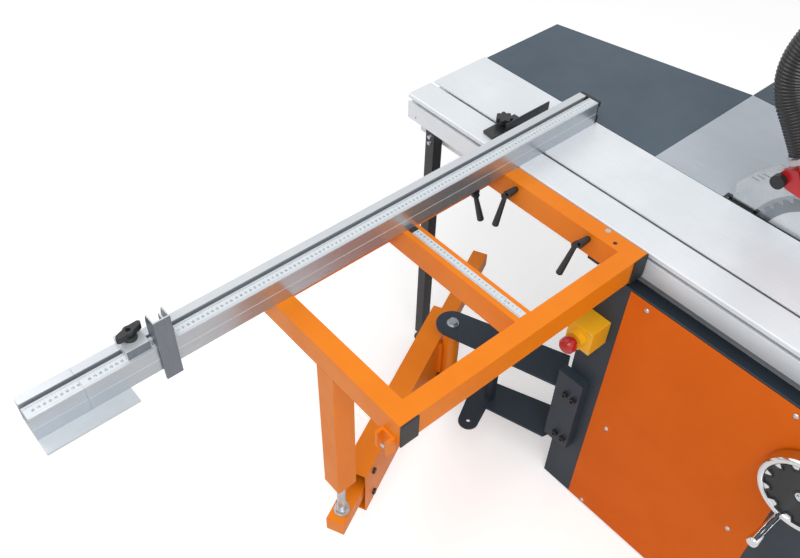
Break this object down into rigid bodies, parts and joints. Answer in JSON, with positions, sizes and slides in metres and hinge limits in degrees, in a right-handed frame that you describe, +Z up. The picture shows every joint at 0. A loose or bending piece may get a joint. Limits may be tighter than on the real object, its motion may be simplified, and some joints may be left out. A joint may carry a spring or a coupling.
{
  "type": "sliding table saw",
  "caption": "Sliding table saw with a grey and orange cabinet, long sliding table, outrigger frame on a swing arm, crosscut fence with flip stop and red blade guard with suction hose.",
  "frame": {"origin": "on the floor straight below the centre of the raised blade", "axes": "+X to the right across the tables, +Y to the rear along the sliding table, +Z up"},
  "size_m": [2.1977, 1.6, 1.3848],
  "materials": {
    "anthracite_paint": "satin",
    "orange_paint": "satin",
    "panel_paint": "satin",
    "slate_paint": "satin",
    "yellow_plastic": "satin",
    "red_plastic": "gloss",
    "black_plastic": "matte",
    "black_rubber": "matte",
    "alloy": "anodised",
    "table_iron": "ground",
    "plain_iron": "as cast",
    "zinc": "zinc plated",
    "chrome": "polished",
    "blade_steel": "ground"
  },
  "bodies": {
    "base": {"cabinet": "anthracite_paint", "side_panel": "panel_paint", "cabinet_bolts": "zinc", "main_table": "table_iron", "rear_table": "slate_paint", "right_table": "slate_paint", "slot_strip": "black_plastic", "slide_rail": "alloy", "rail_leg": "black_plastic", "arm_bracket": "anthracite_paint", "pivot_bolt": "zinc", "estop_box": "yellow_plastic", "control_box": "anthracite_paint", "dust_port": "anthracite_paint", "rip_rail": "zinc", "trunnions": "plain_iron", "suction_hose": "black_rubber"},
    "slider": {"slider_table": "alloy", "outrigger_frame": "orange_paint", "outrigger_caps": "black_plastic", "frame_bolts": "zinc", "outrigger_leg": "orange_paint", "frame_fittings": "orange_paint"},
    "rear_lever": {"lever_rear": "black_plastic"},
    "front_lever": {"lever_front": "black_plastic"},
    "fence_lever": {"lever_fence": "black_plastic"},
    "fence": {"fence_profile": "alloy", "fence_end_block": "black_plastic"},
    "extension": {"fence_extension": "alloy", "support_plate": "alloy"},
    "stop": {"stop_block": "alloy"},
    "flip_stop": {"stop_arm": "alloy"},
    "stop_screw": {"stop_knob": "black_plastic"},
    "shoe": {"edging_shoe": "black_plastic"},
    "shoe_screw": {"shoe_knob": "black_plastic"},
    "arm": {"arm_housing": "orange_paint"},
    "arm_slide": {"arm_tube": "orange_paint", "leg_spindle": "zinc"},
    "upper_roller": {"roller_top": "black_plastic"},
    "lower_roller": {"roller_low": "black_plastic"},
    "tilting": {"tilt_carriage": "plain_iron"},
    "rising": {"rise_carriage": "plain_iron", "motor": "anthracite_paint", "riving_knife": "blade_steel", "blade_guard": "red_plastic", "hose_clamp": "zinc", "drive_belt": "black_rubber"},
    "arbor_shaft": {"arbor": "zinc", "saw_blade": "blade_steel"},
    "motor_shaft": {"motor_pulley": "zinc"},
    "guard_screw": {"guard_knob": "black_plastic"},
    "tilt_handwheel": {"tilt_wheel": "chrome"},
    "tilt_handle": {"tilt_grip": "chrome"},
    "rise_handwheel": {"rise_wheel": "chrome"},
    "rise_handle": {"rise_grip": "chrome"},
    "lift_screw": {"rise_screw": "zinc"},
    "stop_switch": {"estop_button": "red_plastic"},
    "main_switch": {"switch_button": "red_plastic"},
    "rip": {"rip_fence": "alloy"},
    "rip_clamp": {"rip_lever": "black_plastic"}
  },
  "joints": [
    {"name": "slider_travel", "type": "slide", "parent": "base", "child": "slider", "axis": [0, -1, 0], "range_m": [-0.08, 0.8]},
    {"name": "arm_swing", "type": "hinge", "parent": "base", "child": "arm", "pos_m": [-0.4, 0.617, 0.3], "axis": [0, 0, 1], "range_deg": [-9.7, 42.7]},
    {"name": "arm_extend", "type": "slide", "parent": "arm", "child": "arm_slide", "axis": [-0.9011, -0.4337, 0], "range_m": [-0.128, 0.565]},
    {"name": "upper_roller_spin", "type": "hinge", "parent": "arm", "child": "upper_roller", "pos_m": [-0.81545, 0.48176, 0.2923], "axis": [-0.4337, 0.9011, 0], "continuous": true},
    {"name": "lower_roller_spin", "type": "hinge", "parent": "arm", "child": "lower_roller", "pos_m": [-0.81545, 0.48176, 0.1987], "axis": [-0.4337, 0.9011, 0], "continuous": true},
    {"name": "rear_lever_turn", "type": "hinge", "parent": "slider", "child": "rear_lever", "pos_m": [-0.3213, 0.541, 0.844], "axis": [-1, 0, 0], "range_deg": [-20, 60]},
    {"name": "front_lever_turn", "type": "hinge", "parent": "slider", "child": "front_lever", "pos_m": [-0.3213, 0.334, 0.844], "axis": [-1, 0, 0], "range_deg": [-20, 60]},
    {"name": "fence_lever_turn", "type": "hinge", "parent": "slider", "child": "fence_lever", "pos_m": [-0.393, 0.6237, 0.836], "axis": [0, -1, 0], "range_deg": [-60, 20]},
    {"name": "fence_swivel", "type": "hinge", "parent": "slider", "child": "fence", "pos_m": [-0.05, 0.6085, 0.86], "axis": [0, 0, 1], "range_deg": [0, 45]},
    {"name": "fence_extend", "type": "slide", "parent": "fence", "child": "extension", "axis": [-1, 0, 0], "range_m": [0, 0.6]},
    {"name": "stop_travel", "type": "slide", "parent": "fence", "child": "stop", "axis": [1, 0, 0], "range_m": [-0.05, 0.18]},
    {"name": "stop_flip", "type": "hinge", "parent": "stop", "child": "flip_stop", "pos_m": [-1.175, 0.597, 0.9283], "axis": [-1, 0, 0], "range_deg": [0, 90]},
    {"name": "stop_screw_turn", "type": "hinge", "parent": "stop", "child": "stop_screw", "pos_m": [-1.213, 0.613, 0.9383], "axis": [0, 0, 1], "continuous": true},
    {"name": "shoe_travel", "type": "slide", "parent": "slider", "child": "shoe", "axis": [0, 1, 0], "range_m": [-0.03, 0.2]},
    {"name": "shoe_screw_turn", "type": "hinge", "parent": "shoe", "child": "shoe_screw", "pos_m": [-0.195, 0.709, 0.86], "axis": [0, 0, 1], "continuous": true},
    {"name": "blade_tilt", "type": "hinge", "parent": "base", "child": "tilting", "pos_m": [0, 0, 0.86], "axis": [0, 1, 0], "range_deg": [0, 45], "deforming": ["suction_hose"]},
    {"name": "blade_rise", "type": "slide", "parent": "tilting", "child": "rising", "axis": [0, 0, 1], "range_m": [-0.07, 0], "deforming": ["suction_hose"]},
    {"name": "arbor_spin", "type": "hinge", "parent": "rising", "child": "arbor_shaft", "pos_m": [0, 0, 0.81], "axis": [1, 0, 0], "continuous": true},
    {"name": "motor_spin", "type": "hinge", "parent": "rising", "child": "motor_shaft", "pos_m": [0.1, 0, 0.54], "axis": [1, 0, 0], "continuous": true},
    {"name": "guard_screw_turn", "type": "hinge", "parent": "rising", "child": "guard_screw", "pos_m": [0, 0.124, 0.976], "axis": [-1, 0, 0], "continuous": true},
    {"name": "tilt_wheel_turn", "type": "hinge", "parent": "base", "child": "tilt_handwheel", "pos_m": [-0.356, -0.265, 0.623], "axis": [1, 0, 0], "range_deg": [0, 2700.5]},
    {"name": "tilt_handle_spin", "type": "hinge", "parent": "tilt_handwheel", "child": "tilt_handle", "pos_m": [-0.356, -0.251, 0.543], "axis": [-1, 0, 0], "continuous": true},
    {"name": "rise_wheel_turn", "type": "hinge", "parent": "tilting", "child": "rise_handwheel", "pos_m": [0.044, -0.418, 0.53], "axis": [0, 1, 0], "range_deg": [-1261, 0]},
    {"name": "rise_handle_spin", "type": "hinge", "parent": "rise_handwheel", "child": "rise_handle", "pos_m": [0.044, -0.418, 0.61], "axis": [0, -1, 0], "continuous": true},
    {"name": "lift_screw_turn", "type": "hinge", "parent": "tilting", "child": "lift_screw", "pos_m": [0.044, 0, 0.548], "axis": [0, 0, 1], "range_deg": [-1261, 0]},
    {"name": "stop_switch_press", "type": "slide", "parent": "base", "child": "stop_switch", "axis": [1, 0, 0], "range_m": [0, 0.005]},
    {"name": "main_switch_press", "type": "slide", "parent": "base", "child": "main_switch", "axis": [0, 1, 0], "range_m": [0, 0.005], "stiffness_N_per_m": 400},
    {"name": "rip_travel", "type": "slide", "parent": "base", "child": "rip", "axis": [1, 0, 0], "range_m": [-0.2, 0.15]},
    {"name": "rip_lever_turn", "type": "hinge", "parent": "rip", "child": "rip_clamp", "pos_m": [0.464, -0.461, 0.84], "axis": [0, 0, 1], "range_deg": [-40, 40]}
  ],
  "couplings": [
    {"joint": "arm_swing", "follows": "slider_travel", "rad_per_m": 0.9294},
    {"joint": "arm_extend", "follows": "slider_travel", "ratio": 0.704},
    {"joint": "upper_roller_spin", "follows": "slider_travel", "rad_per_m": 29.333},
    {"joint": "lower_roller_spin", "follows": "slider_travel", "rad_per_m": -29.333},
    {"joint": "motor_spin", "follows": "arbor_spin", "ratio": 0.6667},
    {"joint": "tilt_wheel_turn", "follows": "blade_tilt", "ratio": 60},
    {"joint": "rise_wheel_turn", "follows": "blade_rise", "rad_per_m": 314.16},
    {"joint": "lift_screw_turn", "follows": "blade_rise", "rad_per_m": 314.16}
  ]
}
